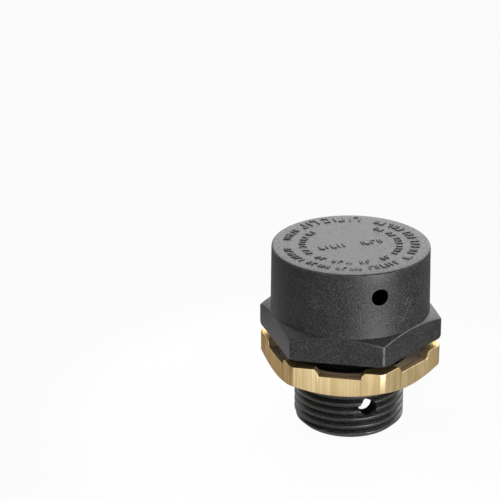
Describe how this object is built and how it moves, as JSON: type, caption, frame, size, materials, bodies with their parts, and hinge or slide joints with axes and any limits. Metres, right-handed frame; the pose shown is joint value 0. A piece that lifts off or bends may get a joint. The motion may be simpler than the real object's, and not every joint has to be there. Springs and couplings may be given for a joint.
{
  "type": "breather drain plug",
  "caption": "Black moulded breather drain plug: a round closed cap with a side vent on a hexagon, over a hollow threaded spigot with drain holes, and a slotted brass locknut.",
  "frame": {"origin": "centre of the spigot's open end, which is the bottom of the part as it stands", "axes": "+Z along the thread, from the open end to the closed cap; -Y through a corner of the hexagon, a vent hole and a drain hole"},
  "size_m": [0.0288, 0.0332, 0.0342],
  "materials": {
    "head_nylon": "matte",
    "spigot_nylon": "matte",
    "baffle_nylon": "matte",
    "sintered_bronze": "matte",
    "nitrile_rubber": "matte",
    "nut_brass": "satin"
  },
  "bodies": {
    "plug": {"vent_head": "head_nylon", "threaded_spigot": "spigot_nylon", "baffle_cup": "baffle_nylon", "filter_disc": "sintered_bronze", "o_ring": "nitrile_rubber"},
    "nut": {"locknut": "nut_brass"}
  },
  "joints": [
    {"name": "nut_travel", "type": "slide", "parent": "plug", "child": "nut", "axis": [0, 0, 1], "range_m": [-0.0108, 0.0013]}
  ]
}
